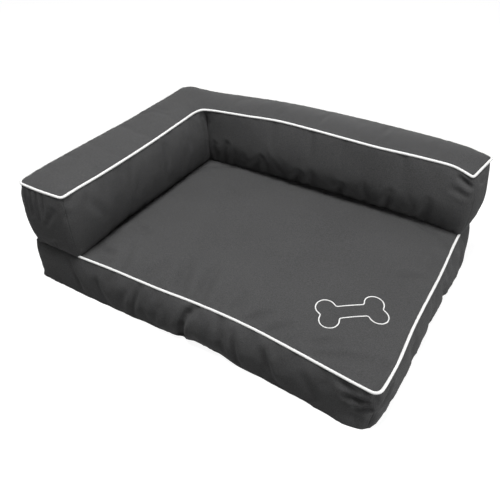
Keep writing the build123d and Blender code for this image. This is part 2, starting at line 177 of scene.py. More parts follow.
def stuff(flat, cushion):
    foot, top, plan = cushion["foot"], cushion["top"], cushion["plan"]
    rise = np.clip((flat[:, 2] - foot) / (top - foot), 0, 1)
    slack = 1 - (2 * rise - 1) ** 2  # 0 at the seams and 1 halfway between them
    place = flat.copy()
    outward = np.zeros((len(flat), 2))
    swell = np.zeros(len(flat))
    for start, end, wall in zip(plan, plan[1:] + plan[:1], cushion["walls"]):
        depth, share, beside, inward = onSide(flat, start, end)
        onWall = beside & (depth < hair)
        outward[onWall] -= inward
        bulge = wall["swell"] + wall["bow"] * 4 * share * (1 - share)
        swell = np.where(onWall, np.maximum(swell, bulge), swell)
        fade = np.clip(1 - depth / wall["reach"], 0, 1) ** 1.5 * beside
        draw = readCurve(wall["topDraw"], share) * rise + readCurve(wall["footDraw"], share) * (1 - rise)
        place[:, :2] += inward * (draw * (1 - slack) * fade)[:, None]
    for x, y, signX, signY, radius in cushion["corners"]:
        u, v = (flat[:, 0] - x) * signX + radius, (flat[:, 1] - y) * signY + radius
        inCorner = (u > 0) & (v > 0)
        u, v = u[inCorner], v[inCorner]
        roundX = u * np.sqrt(1 - v * v / (2 * radius * radius))
        roundY = v * np.sqrt(1 - u * u / (2 * radius * radius))
        place[inCorner, 0] += (roundX - u) * signX
        place[inCorner, 1] += (roundY - v) * signY
        radial = np.stack((roundX * signX, roundY * signY), 1) / radius
        outward[inCorner] = np.where(np.any(outward[inCorner] != 0, axis=1)[:, None], radial, 0)
    for x, y, shiftX, shiftY, spread, power in cushion["nooks"]:  # the top seam's own way round the inner corner
        share = rise * (1 - slack) * np.exp(-(np.hypot(flat[:, 0] - x, flat[:, 1] - y) / spread) ** power)
        place[:, :2] += share[:, None] * (shiftX, shiftY)
    place[:, :2] += outward * (swell * slack)[:, None]
    place[:, 2] += cushion["heights"](flat, rise)
    return place


def dome(distance, reach):
    return 1 - (1 - np.clip(distance / reach, 0, 1)) ** 2


def meshPoints(mesh):
    points = np.empty(len(mesh.vertices) * 3)
    mesh.vertices.foreach_get("co", points)
    return points.reshape(-1, 3)


def setPoints(mesh, points):
    mesh.vertices.foreach_set("co", np.ascontiguousarray(points, dtype=np.float32).ravel())
    mesh.update()


def pointNormals(mesh):
    normals = np.empty(len(mesh.vertices) * 3)
    mesh.vertex_normals.foreach_get("vector", normals)
    return normals.reshape(-1, 3)


def flatPoints(mesh):
    points = np.empty(len(mesh.vertices) * 3, dtype=np.float32)
    mesh.attributes["flat"].data.foreach_get("vector", points)
    return points.reshape(-1, 3).astype(float)


def fromNook(flat):
    return np.hypot(flat[:, 0] - bed["armFoot"], flat[:, 1] - bed["backFoot"])


def mattressGap(flat):  # how far a point lies in from the outline
    return np.minimum.reduce([flat[:, 0] - bed["left"], bed["right"] - flat[:, 0],
                              flat[:, 1] - bed["front"], bed["rear"] - flat[:, 1]])


def bolsterGap(flat):
    toArm, toBack = bed["armFoot"] - flat[:, 0], flat[:, 1] - bed["backFoot"]
    inner = np.where(toBack < 0, toArm, np.where(toArm < 0, toBack, fromNook(flat)))
    return np.minimum(mattressGap(flat), inner)


def newPiece(name, mesh):
    piece = bpy.data.objects.new(name, mesh)
    scene.collection.objects.link(piece)
    return piece


def asMesh(name, bm):
    mesh = bpy.data.meshes.new(name)
    bm.to_mesh(mesh)
    bm.free()
    return mesh


def blockMesh(name, bm, panelOf):  # keeps the flat place, the cloth's own coordinates and each face's panel
    flat = bm.verts.layers.float_vector.new("flat")
    for vert in bm.verts:
        vert[flat] = vert.co
    panel = bm.faces.layers.int.new("panel")
    cloth = bm.loops.layers.uv.new("cloth")
    for face in bm.faces:
        normal, centre = face.normal, face.calc_center_median()
        face[panel] = panelNames.index(panelOf(normal, centre))
        face.smooth = True
        for loop in face.loops:
            x, y, z = loop.vert.co
            loop[cloth].uv = (x, y) if abs(normal.z) > 0.5 else (x, z) if abs(normal.y) > 0.5 else (y, z)
    return asMesh(name, bm)


simulation = {"quality": 5, "mass": 0.3, "shear": 1 / 3, "frames": 20}


def inflate(mesh, held, cloth):  # the cloth simulation, with what is sewn or bears on something held
    start = meshPoints(mesh)
    pad = newPiece("inflating", mesh.copy())
    pad.vertex_groups.new(name="held").add(np.flatnonzero(held).tolist(), 1.0, "REPLACE")
    modifier = pad.modifiers.new("cloth", "CLOTH")
    settings = modifier.settings
    settings.quality, settings.mass = simulation["quality"], simulation["mass"]
    settings.tension_stiffness = settings.compression_stiffness = cloth["stiffness"]
    settings.shear_stiffness = cloth["stiffness"] * simulation["shear"]
    settings.bending_stiffness = cloth["bending"]
    settings.vertex_group_mass = "held"
    settings.use_pressure = True
    settings.uniform_pressure_force = cloth["pressure"]
    settings.shrink_min = settings.shrink_max = -cloth["growth"]
    settings.effector_weights.gravity = 0
    modifier.collision_settings.use_collision = False
    modifier.point_cache.frame_start, modifier.point_cache.frame_end = 1, simulation["frames"]
    for step in range(1, simulation["frames"] + 1):
        scene.frame_set(step)
    done = pad.evaluated_get(bpy.context.evaluated_depsgraph_get()).to_mesh()
    moved = meshPoints(done) - start
    bpy.data.objects.remove(pad)
    scene.frame_set(1)
    length = np.linalg.norm(moved, axis=1, keepdims=True) + 1e-9
    return start + moved / length * cloth["cap"] * np.tanh(length / cloth["cap"])  # no point moves past the cap


def subdivided(mesh):
    rough = newPiece("rough", mesh)
    modifier = rough.modifiers.new("fine", "SUBSURF")
    modifier.levels = modifier.render_levels = 1
    fine = bpy.data.meshes.new_from_object(rough.evaluated_get(bpy.context.evaluated_depsgraph_get()))
    bpy.data.objects.remove(rough)
    return fine


def stuffed(name, bm, cushion, panelOf):
    mesh = blockMesh(name, bm, panelOf)
    flat = flatPoints(mesh)
    setPoints(mesh, stuff(flat, cushion))
    x, y, z = flat.T
    onTop = z > cushion["top"] - hair
    held = (onTop & (cushion["gap"](flat) < hair)) | (z < cushion["foot"] + hair)
    held |= (y > bed["rear"] - hair) & (np.abs(z - cushion["zip"]) < zipSlot["held"])
    if cushion["bearsBolster"]:
        held |= onTop & ((x < bed["armFoot"] + hair) | (y > bed["backFoot"] - hair))
    setPoints(mesh, inflate(mesh, held, cushion["cloth"]))
    mesh = subdivided(mesh)
    print(name, "stuffed:", len(mesh.polygons), "faces")
    return mesh


# Panels

panelNames = ["bottom", "front", "right", "left", "rearLower", "rearUpper", "top",
              "armEnd", "armInner", "backInner", "backEnd", "armOuter", "slot"]
zipSlot = {"half": 0.0075, "held": 0.022}  # half the height of a zip's opening, and of the cloth sewn round it


def sliceCushion(bm, cushion):  # even cuts, with others beside the seams and round the zip's opening
    side, half = cushion["slotHalf"], zipSlot["half"]
    low = (bed["left"], bed["front"], cushion["foot"])
    high = (bed["right"], bed["rear"], cushion["top"])
    opening = ((-side, side), (), (cushion["zip"] - half, cushion["zip"], cushion["zip"] + half))
    cutBlock(bm, [slices(low[axis], high[axis], cushion["pitch"], (*cushion["cuts"][axis], *opening[axis]))
                  for axis in range(3)])


def rearPanel(centre, cushion):
    above = centre.z - cushion["zip"]
    if abs(centre.x) < cushion["slotHalf"] and abs(above) < zipSlot["half"]:
        return "slot"
    return "rearUpper" if above > 0 else "rearLower"


def mattressPanel(normal, centre):
    if abs(normal.z) > 0.5:
        return "top" if normal.z > 0 else "bottom"
    if abs(normal.y) > 0.5:
        return "front" if normal.y < 0 else rearPanel(centre, mattress)
    return "right" if normal.x > 0 else "left"


def bolsterPanel(normal, centre):
    if abs(normal.z) > 0.5:
        return "top" if normal.z > 0 else "bottom"
    if normal.y > 0.5:
        return rearPanel(centre, bolster)
    if normal.y < -0.5:
        return "armEnd" if centre.y < 0 else "backInner"
    if normal.x < -0.5:
        return "armOuter"
    return "backEnd" if centre.x > 0 else "armInner"


# Mattress

def mattressHeights(flat, rise):  # the lying surface rises between its seams and the bolster
    x, y, crown = flat[:, 0], flat[:, 1], mattress["crown"]
    lying = (dome(x - bed["armFoot"], crown["byBolster"]) * dome(bed["right"] - x, crown["bySeam"])
             * dome(y - bed["front"], crown["bySeam"]) * dome(crown["underBack"] - y, crown["byBolster"]))
    return crown["height"] * lying * (rise > 0.9999)


mattress = {
    "foot": 0.0, "top": bed["mattressTop"], "pitch": 0.011, "zip": 0.0545, "slotHalf": 0.3966, "fill": 0.7,
    "gap": mattressGap, "heights": mattressHeights, "gather": 0.0016, "bearsBolster": True,
    "crown": {"height": 0.0185, "bySeam": 0.2, "byBolster": 0.17, "underBack": 0.228},
    "cuts": ((-0.434, bed["armFoot"], 0.434), (bed["front"] + 0.003, bed["backFoot"], 0.315), (0.003, 0.106)),
    "plan": [(bed["left"], bed["front"]), (bed["right"], bed["front"]),
             (bed["right"], bed["rear"]), (bed["left"], bed["rear"])],
    "corners": [(-0.437, -0.314, -1, -1, 0.009), (0.437, -0.314, 1, -1, 0.015),  # place, way out, radius
                (0.437, 0.318, 1, 1, 0.02), (-0.437, 0.318, -1, 1, 0.024)],
    "nooks": [],
    "walls": [  # front, right, rear and left, each from one corner of the plan to the next
        {"swell": 0.007, "bow": 0.003, "reach": 0.22,
         "topDraw": [(0, -0.003), (0.16, 0.004), (0.27, 0.009), (0.43, 0.0127), (0.52, 0.0175), (0.61, 0.0195),
                     (0.69, 0.018), (0.8, 0.0105), (0.9, 0.002), (0.95, -0.002), (1, -0.005)],
         "footDraw": [(0, -0.01), (0.23, -0.01), (0.38, -0.005), (0.45, -0.002), (0.5, 0.004), (0.55, 0.007),
                      (0.6, 0.005), (0.66, -0.003), (0.745, -0.005), (0.8, -0.007), (0.85, -0.01), (0.9, -0.014),
                      (0.95, -0.018), (1, -0.01)]},
        {"swell": 0.009, "bow": 0.004, "reach": 0.2,
         "topDraw": [(0, -0.006), (0.05, -0.008), (0.12, -0.009), (0.29, -0.004), (0.58, -0.003), (0.84, 0.002),
                     (1, 0)],
         "footDraw": [(0, 0.001), (0.04, -0.006), (0.15, -0.014), (0.5, -0.013), (0.6, -0.015), (0.65, -0.0115),
                      (0.7, -0.016), (0.8, -0.02), (0.9, -0.018), (1, -0.01)]},
        {"swell": 0.005, "bow": 0.0, "reach": 0.1,
         "topDraw": [(0, 0), (1, 0)], "footDraw": [(0, 0), (1, 0)]},
        {"swell": 0.007, "bow": 0.003, "reach": 0.1,
         "topDraw": [(0, 0), (1, 0)], "footDraw": [(0, 0), (0.5, -0.004), (1, -0.007)]},
    ],
    "cloth": {"pressure": 2.5, "stiffness": 12.0, "bending": 0.25, "growth": 0.022, "cap": 0.007},
}

bm = bmesh.new()
boxBetween(bm, (bed["left"], bed["front"], 0), (bed["right"], bed["rear"], bed["mattressTop"]))
sliceCushion(bm, mattress)
mattressMesh = stuffed("mattress", bm, mattress, mattressPanel)


# Bolster, an L of arm and back

def bolsterHeights(flat, rise):  # the top is crowned, and the back's arches up over its length
    arch = bolster["arch"]
    crown = bolster["crown"]["height"] * dome(bolsterGap(flat), bolster["crown"]["reach"]) * (rise > 0.9999)
    share = np.clip((flat[:, 0] - bed["left"]) / (bed["right"] - bed["left"]), 0, 1)
    lift = arch["height"] * readCurve(arch["along"], share) * np.clip((flat[:, 1] - arch["from"]) / arch["over"], 0, 1)
    return crown + lift * np.clip((rise - arch["above"]) / (1 - arch["above"]), 0, 1)


bolster = {
    "foot": bed["mattressTop"], "top": bed["bolsterTop"], "pitch": 0.0095, "zip": 0.191, "slotHalf": 0.3566,
    "fill": 0.85, "gap": bolsterGap, "heights": bolsterHeights, "gather": 0.0026, "bearsBolster": False,
    "crown": {"height": 0.0062, "reach": 0.05},
    "arch": {"height": 0.015, "from": 0.12, "over": 0.1, "above": 0.58,
             "along": [(0, 0), (0.12, 0.0), (0.24, 0.42), (0.37, 0.9), (0.55, 1.08), (0.75, 1.05), (0.87, 0.95),
                       (0.94, 0.75), (0.98, 0.35), (1, 0.1)]},
    "cuts": ((-0.434, -0.297, bed["armFoot"], 0.434),
             (bed["front"] + 0.003, bed["backFoot"], bed["backFoot"] + 0.003, 0.315), (0.112, 0.27)),
    "plan": [(bed["left"], bed["front"]), (bed["armFoot"], bed["front"]), (bed["armFoot"], bed["backFoot"]),
             (bed["right"], bed["backFoot"]), (bed["right"], bed["rear"]), (bed["left"], bed["rear"])],
    "corners": [(-0.437, -0.314, -1, -1, 0.017), (-0.294, -0.314, 1, -1, 0.007),
                (0.437, 0.219, 1, -1, 0.005), (0.437, 0.318, 1, 1, 0.009), (-0.437, 0.318, -1, 1, 0.036)],
    "nooks": [(-0.294, 0.219, 0.0, -0.018, 0.042, 2),  # place, shift of the top seam, spread, power
              (-0.294, 0.219, 0.005, -0.005, 0.013, 1)],
    "walls": [  # arm end, arm inner, back inner, back end, rear and arm outer
        {"swell": 0.0075, "bow": 0.006, "reach": 0.1,
         "topDraw": [(0, -0.004), (0.5, -0.005), (1, -0.001)], "footDraw": [(0, -0.003), (0.5, 0.001), (1, 0)]},
        {"swell": 0.011, "bow": 0.004, "reach": 0.13,
         "topDraw": [(0, 0.002), (0.08, 0.002), (0.2, -0.001), (0.4, -0.002), (0.6, 0), (0.8, 0.005), (0.93, 0.006),
                     (1, 0.002)],
         "footDraw": [(0, -0.002), (0.1, 0.001), (0.33, 0.007), (0.6, 0.004), (0.8, 0.004), (1, 0.003)]},
        {"swell": 0.016, "bow": 0.007, "reach": 0.1,
         "topDraw": [(0, 0), (0.02, -0.0025), (0.04, -0.0065), (0.08, -0.0135), (0.12, -0.0148), (0.19, -0.0135),
                     (0.31, -0.005), (0.44, -0.0065), (0.56, -0.0095), (0.68, -0.0115), (0.79, -0.0065),
                     (0.89, -0.002), (0.94, -0.001), (0.975, -0.006), (1, -0.01)],
         "footDraw": [(0, 0.002), (0.06, 0.004), (0.18, 0.011), (0.32, 0.015), (0.44, 0.019), (0.58, 0.02),
                      (0.7, 0.02), (0.79, 0.018), (0.88, 0.014), (0.94, 0.007), (1, 0)]},
        {"swell": 0.015, "bow": 0.005, "reach": 0.08,
         "topDraw": [(0, 0.004), (0.5, -0.004), (1, -0.013)], "footDraw": [(0, 0), (0.5, 0.003), (1, 0)]},
        {"swell": 0.005, "bow": 0.0, "reach": 0.09,
         "topDraw": [(0, -0.006), (0.04, -0.008), (0.2, -0.013), (0.5, -0.014), (0.75, -0.007), (0.93, 0), (1, 0)],
         "footDraw": [(0, 0), (1, 0)]},
        {"swell": 0.0085, "bow": 0.003, "reach": 0.13,
         "topDraw": [(0, 0), (0.2, 0.004), (0.45, 0.006), (0.7, 0.002), (0.93, 0.002), (1, 0.005)],
         "footDraw": [(0, 0), (0.5, 0.003), (1, 0)]},
    ],
    "cloth": {"pressure": 2.5, "stiffness": 12.0, "bending": 0.25, "growth": 0.02, "cap": 0.0038},
}

bm = bmesh.new()
boxBetween(bm, (bed["left"], bed["front"], bed["mattressTop"]), (bed["armFoot"], bed["rear"], bed["bolsterTop"]))
cutBlock(bm, ((), (bed["backFoot"],), ()))
backStart = [face for face in bm.faces if face.normal.x > 0.5 and face.calc_center_median().y > bed["backFoot"]]
grown = bmesh.ops.extrude_face_region(bm, geom=backStart)["geom"]
bmesh.ops.translate(bm, vec=(bed["right"] - bed["armFoot"], 0, 0),
                    verts=[part for part in grown if isinstance(part, bmesh.types.BMVert)])
bmesh.ops.delete(bm, geom=[face for face in backStart if face.is_valid], context="FACES_ONLY")
sliceCushion(bm, bolster)
bmesh.ops.recalc_face_normals(bm, faces=bm.faces[:])
bolsterMesh = stuffed("bolster", bm, bolster, bolsterPanel)
cushions = {"mattress": (mattress, mattressMesh), "bolster": (bolster, bolsterMesh)}


# Folds, gathers at the seams and soft unevenness of the filling

folds = {  # by panel: from and to in its plane, width, depth
    "front": [
        ((-0.113, 0.102), (-0.138, 0.018), 0.008, 0.0066), ((-0.142, 0.085), (-0.165, 0.04), 0.012, 0.0036),
        ((0.033, 0.106), (0.013, 0.08), 0.009, 0.008), ((0.016, 0.088), (-0.006, 0.01), 0.009, 0.0105),
        ((0.131, 0.088), (0.146, 0.02), 0.008, 0.0066), ((0.1, 0.095), (0.112, 0.04), 0.013, 0.0044),
        ((0.205, 0.08), (0.232, 0.018), 0.011, 0.0052), ((-0.32, 0.085), (-0.297, 0.018), 0.011, 0.0048),
        ((-0.24, 0.06), (-0.215, 0.012), 0.012, 0.0036), ((-0.06, 0.07), (-0.08, 0.014), 0.01, 0.0036),
        ((0.3, 0.07), (0.33, 0.024), 0.011, 0.004), ((0.385, 0.073), (0.425, 0.079), 0.0065, 0.009),
        ((0.408, 0.055), (0.429, 0.061), 0.006, 0.007), ((0.36, 0.098), (0.4, 0.093), 0.006, 0.004)],
    "right": [
        ((0.068, 0.07), (0.105, 0.006), 0.012, 0.007), ((-0.15, 0.076), (-0.115, 0.018), 0.015, 0.0042),
        ((-0.303, 0.066), (-0.266, 0.084), 0.0065, 0.008), ((-0.3, 0.05), (-0.255, 0.04), 0.009, 0.0036),
        ((0.2, 0.084), (0.228, 0.012), 0.012, 0.0044), ((-0.03, 0.06), (0.0, 0.012), 0.014, 0.0036)],
    "top": [
        ((0.3, -0.3), (0.422, -0.25), 0.011, 0.008), ((0.286, -0.282), (0.33, -0.252), 0.01, 0.0064),
        ((-0.261, -0.268), (-0.228, -0.27), 0.01, 0.0059), ((-0.25, -0.165), (-0.203, -0.175), 0.012, 0.0064),
        ((0.416, 0.06), (0.421, 0.12), 0.012, 0.0064), ((-0.118, -0.298), (-0.098, -0.24), 0.013, 0.0059),
        ((0.03, -0.29), (0.015, -0.215), 0.014, 0.0075), ((-0.02, -0.292), (-0.05, -0.212), 0.014, 0.0064),
        ((0.108, -0.292), (0.112, -0.24), 0.012, 0.0059), ((0.144, -0.29), (0.178, -0.256), 0.01, 0.0054),
        ((0.2, -0.292), (0.228, -0.262), 0.01, 0.0054), ((0.368, 0.0), (0.405, 0.03), 0.014, 0.005),
        ((-0.18, -0.296), (-0.2, -0.24), 0.012, 0.005)],
    "armEnd": [
        ((-0.405, 0.262), (-0.402, 0.215), 0.004, 0.0026), ((-0.39, 0.264), (-0.388, 0.205), 0.005, 0.0036),
        ((-0.372, 0.264), (-0.368, 0.2), 0.005, 0.0036), ((-0.35, 0.262), (-0.352, 0.215), 0.006, 0.003),
        ((-0.322, 0.235), (-0.35, 0.195), 0.007, 0.0032), ((-0.33, 0.15), (-0.365, 0.128), 0.009, 0.0026)],
    "armInner": [
        ((0.19, 0.258), (0.196, 0.126), 0.006, 0.0052), ((-0.255, 0.24), (-0.225, 0.18), 0.012, 0.0026),
        ((0.02, 0.15), (0.08, 0.122), 0.011, 0.0028), ((-0.12, 0.15), (-0.08, 0.12), 0.011, 0.0024)],
    "backInner": [
        ((-0.258, 0.18), (-0.266, 0.128), 0.008, 0.003), ((-0.215, 0.19), (-0.238, 0.125), 0.009, 0.004),
        ((-0.105, 0.175), (-0.15, 0.122), 0.01, 0.0046), ((0.01, 0.165), (-0.02, 0.118), 0.01, 0.0036),
        ((0.13, 0.165), (0.105, 0.12), 0.01, 0.0036), ((0.26, 0.185), (0.24, 0.12), 0.01, 0.0036),
        ((0.35, 0.19), (0.338, 0.13), 0.01, 0.003), ((0.405, 0.264), (0.434, 0.25), 0.0055, 0.008),
        ((0.395, 0.236), (0.43, 0.226), 0.007, 0.0034)],
    "backEnd": [
        ((0.232, 0.254), (0.262, 0.25), 0.006, 0.0035), ((0.27, 0.25), (0.262, 0.16), 0.009, 0.0028)],
    "armOuter": [
        ((-0.2, 0.24), (-0.18, 0.14), 0.016, 0.003), ((0.1, 0.25), (0.13, 0.15), 0.016, 0.0032)],
}
foldPlane = {"front": [0, 2], "top": [0, 1], "armEnd": [0, 2], "backInner": [0, 2]}  # the others: y and z
foldForm = {"ends": 0.4, "ridge": 0.35, "ridgeAt": 1.7, "ridgeWidth": 0.9,  # a low ridge runs along each side
            "fromSeam": 0.007, "fromNook": 0.012}  # where a fold reaches its full depth
surface = {
    "ripple": 0.0006, "rippleFrom": 0.004, "rippleReach": 0.013,  # along the top seam
    "gatherFrom": 0.004, "gatherReach": 0.011,  # along the foot
    "uneven": 0.0009, "unevenFrom": 0.03,  # slow hills and hollows of the filling
    "seamDip": 0.0014, "seamWidth": 0.0035, "seamFrom": 0.006,  # the upright seams lie a little deep
    "zipCalm": 0.03,
}


def press(mesh, panel, fade):  # each fold is pressed in along the normals
    points = meshPoints(mesh)
    plane = points[:, foldPlane.get(panel, [1, 2])]
    move = np.zeros(len(points))
    for start, end, width, depth in folds[panel]:
        start, end = np.array(start), np.array(end)
        along = end - start
        share = np.clip((plane - start) @ along / (along @ along), 0, 1)
        distance = np.linalg.norm(plane - start - share[:, None] * along, axis=1) / width
        taper = foldForm["ends"] + (1 - foldForm["ends"]) * np.sin(np.pi * np.clip(share, 0.1, 0.9))
        ridge = foldForm["ridge"] * np.exp(-((distance - foldForm["ridgeAt"]) / foldForm["ridgeWidth"]) ** 2)
        move += depth * (np.exp(-distance ** 2) - ridge) * taper
    inPanel = np.zeros(len(points))
    for face, layer in zip(mesh.polygons, mesh.attributes["panel"].data):
        if layer.value == panelNames.index(panel):
            inPanel[list(face.vertices)] = 1
    setPoints(mesh, points - pointNormals(mesh) * (move * inPanel * fade)[:, None])


def ripple(along, seed):  # uneven gathers along a seam, from -1 to 1
    return (np.sin(along * 291 + seed) * np.sin(along * 97 + 2 * seed) * 0.6
            + np.sin(along * 463 + 3 * seed) * np.sin(along * 61 + seed) * 0.4)


def hills(x, y, z):
    return (np.sin(x * 23 + y * 9 + 1) * np.sin(y * 31 - x * 7)
            + 0.4 * np.sin(x * 37 - y * 29 + z * 45) * np.sin(z * 38 + x * 19))


def finishForm(mesh, cushion, creased):
    flat = flatPoints(mesh)
    x, y, z = flat.T
    below, above = cushion["top"] - z, z - cushion["foot"]
    onTop = below < 10 * hair
    fromSeam = np.where(onTop, cushion["gap"](flat), below)
    along = np.where(onTop, x + y, np.where(np.abs(pointNormals(mesh)[:, 1]) > 0.7, x, y))
    near = np.clip(fromSeam / surface["rippleFrom"], 0, 1) * np.exp(-fromSeam / surface["rippleReach"])
    move = surface["ripple"] * near * ripple(along, 1.3) * (0.6 + 0.4 * onTop)
    near = np.clip(above / surface["gatherFrom"], 0, 1) * np.exp(-above / surface["gatherReach"])
    move += cushion["gather"] * near * ripple(along, 4.1) * (above > 0)
    move += surface["uneven"] * hills(x, y, z) * np.clip(fromSeam / surface["unevenFrom"], 0, 1) * (above > 10 * hair)
    for cornerX, cornerY, *_ in cushion["corners"]:
        near = np.exp(-(np.hypot(x - cornerX, y - cornerY) / surface["seamWidth"]) ** 2)
        move += surface["seamDip"] * near * np.clip(below / surface["seamFrom"], 0, 1) * (below > 10 * hair)
    calm = np.clip(np.abs(z - cushion["zip"]) / surface["zipCalm"] - 0.6, 0, 1)
    move *= np.where(y > bed["rear"] - 0.01, calm, 1)
    setPoints(mesh, meshPoints(mesh) - pointNormals(mesh) * move[:, None])
    fade = np.clip(fromSeam / foldForm["fromSeam"], 0, 1)
    fade *= np.where(onTop, 1, np.clip(fromNook(flat) / foldForm["fromNook"], 0, 1))
    for panel in creased:
        press(mesh, panel, fade)
    points = meshPoints(mesh)
    points[:, 2] = np.maximum(points[:, 2], cushion["foot"])
    setPoints(mesh, points)


finishForm(mattressMesh, mattress, ["front", "right", "top"])
finishForm(bolsterMesh, bolster, ["armEnd", "armInner", "backInner", "backEnd", "armOuter"])
print("folds pressed")


# Tubes, stitches and teeth: a straight tube bent along a path

def tubeAlong(name, path, radius, pitch, sides=10, closed=False, height=1.0, swell=None):
    path = np.array(path)
    run = np.concatenate(([0], np.cumsum(np.linalg.norm(np.diff(path, axis=0), axis=1))))
    length = float(run[-1])
    bm = bmesh.new()
    bmesh.ops.create_cone(bm, cap_ends=not closed, segments=sides, radius1=radius, radius2=radius, depth=length,
                          matrix=Matrix.Translation((0, 0, length / 2)))
    rungs = [edge for edge in bm.edges if abs(edge.verts[0].co.z - edge.verts[1].co.z) > length / 2]
    bmesh.ops.subdivide_edges(bm, edges=rungs, cuts=max(1, round(length / pitch)) - 1, use_grid_fill=True)
    cloth = bm.loops.layers.uv.new("cloth")
    for face in bm.faces:
        face.smooth = len(face.verts) == 4
        centre = face.calc_center_median()
        middle = math.atan2(centre.y, centre.x)
        for loop in face.loops:
            turn = math.atan2(loop.vert.co.y, loop.vert.co.x) - middle
            turn = (turn + math.pi) % (2 * math.pi) - math.pi
            loop[cloth].uv = (radius * (middle + turn), loop.vert.co.z)
    mesh = bpy.data.meshes.new(name)
    bm.to_mesh(mesh)
    x, y, z = meshPoints(mesh).T
    if swell:
        x, y = x * swell(z), y * swell(z)
    centre = np.stack([np.interp(z, run, path[:, i]) for i in range(3)], 1)
    bend = np.gradient(path, run, axis=0)
    if closed:
        bend[0] = bend[-1] = bend[0] + bend[-1]
    ahead = np.stack([np.interp(z, run, bend[:, i]) for i in range(3)], 1)
    ahead /= np.linalg.norm(ahead, axis=1, keepdims=True)
    side = np.cross(ahead, (0, 0, 1))
    side /= np.linalg.norm(side, axis=1, keepdims=True)
    setPoints(mesh, centre + side * x[:, None] + np.cross(side, ahead) * (y * height)[:, None])
    bm.clear()
    bm.from_mesh(mesh)
    bmesh.ops.remove_doubles(bm, verts=bm.verts, dist=1e-6 if not closed else 2e-5)
    bmesh.ops.recalc_face_normals(bm, faces=bm.faces[:])
    bm.to_mesh(mesh)
    bm.free()
    return newPiece(name, mesh)


piping = {"radius": 0.003, "cordRadius": 0.002, "pitch": 0.004, "step": 0.003, "easing": 4}


def seamPath(corners, cushion, cycle):
    points = []
    for start, end in zip(corners, corners[1:]):
        count = max(2, round(math.dist(start, end) / piping["step"]))
        points += [(start[0] + (end[0] - start[0]) * i / count, start[1] + (end[1] - start[1]) * i / count,
                    cushion["top"]) for i in range(count)]
    points.append((*corners[-1], cushion["top"]))
    path = stuff(np.array(points), cushion)
    for _ in range(piping["easing"]):  # eases the line where walls meet
        if cycle:
            loop = path[:-1]
            loop = 0.25 * np.roll(loop, 1, 0) + 0.5 * loop + 0.25 * np.roll(loop, -1, 0)
            path = np.vstack((loop, loop[:1]))
        else:
            path[1:-1] = 0.25 * path[:-2] + 0.5 * path[1:-1] + 0.25 * path[2:]
    return path


openEdge = [(bed["armFoot"] - 0.003, bed["front"]), (bed["right"], bed["front"]),
            (bed["right"], bed["backFoot"] + 0.003)]
pipes = {}
for name, corners, cushion, closed in (("mattress", openEdge, mattress, False),
                                       ("bolster", bolster["plan"] + bolster["plan"][:1], bolster, True)):
    seam = seamPath(corners, cushion, closed)
    pipes[name] = (tubeAlong(name + "Piping", seam, piping["radius"], piping["pitch"], closed=closed),
                   tubeAlong(name + "Cord", seam, piping["cordRadius"], piping["pitch"], sides=8, closed=closed))
print("piping laid")


# Finishes

charcoal = {"tone": 0.067, "hue": (1.0, 1.0, 1.01), "pitch": 0.0006, "rough": 0.89, "sheen": 0.03,
            "drift": 0.12, "threads": 0.1, "slubs": 0.62, "relief": 0.00018}


def weavePaint(name):  # a plain weave of uneven threads
    paint = Paint(name)
    _, (u, v, _) = paint.place("cloth")
    point, _ = paint.place()
    pitch = charcoal["pitch"]
    over = ((u / pitch).floor() + (v / pitch).floor()) % 2
    weave = over * u.ridges(pitch) + (1 - over) * v.ridges(pitch)
    slub = paint.noise(point, 420.0, 3.0, 0.7)
    shade = ((paint.noise(point, 7.0, 4.0) - 0.5) * charcoal["drift"] + (weave - 0.5) * charcoal["threads"]
             + (slub - 0.5) * charcoal["slubs"] + 0.5)
    dark, light = [(*(charcoal["tone"] * k * side for side in charcoal["hue"]), 1) for k in (0.0, 2.0)]
    return paint.finish(
        Base_Color=paint.mix(shade, dark, light), Roughness=weave * -0.08 + charcoal["rough"],
        Normal=paint.bump(weave + slub * 0.6, charcoal["relief"], 0.5),
        Sheen_Weight=charcoal["sheen"], Sheen_Roughness=0.45, Specular_IOR_Level=0.12)


grip = {"pitch": 0.0085, "dot": 0.0019, "cloth": (0.022, 0.022, 0.023, 1), "dots": (0.09, 0.09, 0.092, 1)}


def gripPaint(name):  # raised grey dots on a black base cloth
    paint = Paint(name)
    _, (u, v, _) = paint.place("cloth")
    a, b = (side % grip["pitch"] - grip["pitch"] / 2 for side in (u + v, u - v))
    away = (a * a + b * b).root() / (grip["dot"] * 1.414)
    onDot = away < 1
    dot = (1 - away * away).most(0.0).root()
    point, _ = paint.place()
    fibre = paint.noise(point, 700.0)
    return paint.finish(
        Base_Color=paint.mix(onDot, grip["cloth"], grip["dots"]), Roughness=fibre * 0.2 + 0.62 - onDot * 0.2,
        Normal=paint.bump(dot * 3 + fibre * 0.3, 0.0003, 0.8))


bias = {"pitch": 0.0005, "clean": (0.93, 0.93, 0.92, 1), "worn": (0.74, 0.74, 0.73, 1)}


def biasPaint(name):  # white tape cut on the bias, so its threads run slantwise round the cord
    paint = Paint(name)
    cloth, (u, v, _) = paint.place("cloth")
    weave = (u + v).ridges(bias["pitch"]).most((u - v).ridges(bias["pitch"]))
    wear = paint.noise(cloth, 40.0, 3.0)
    return paint.finish(
        Base_Color=paint.mix(wear * 0.35 + (1 - weave) * 0.25, bias["clean"], bias["worn"]),
        Roughness=wear * 0.1 + 0.6, Normal=paint.bump(weave, 0.00012, 0.4), Sheen_Weight=0.15)


cord = {"strand": 0.0022, "between": (0.52, 0.48, 0.4, 1), "cotton": (0.8, 0.76, 0.68, 1)}


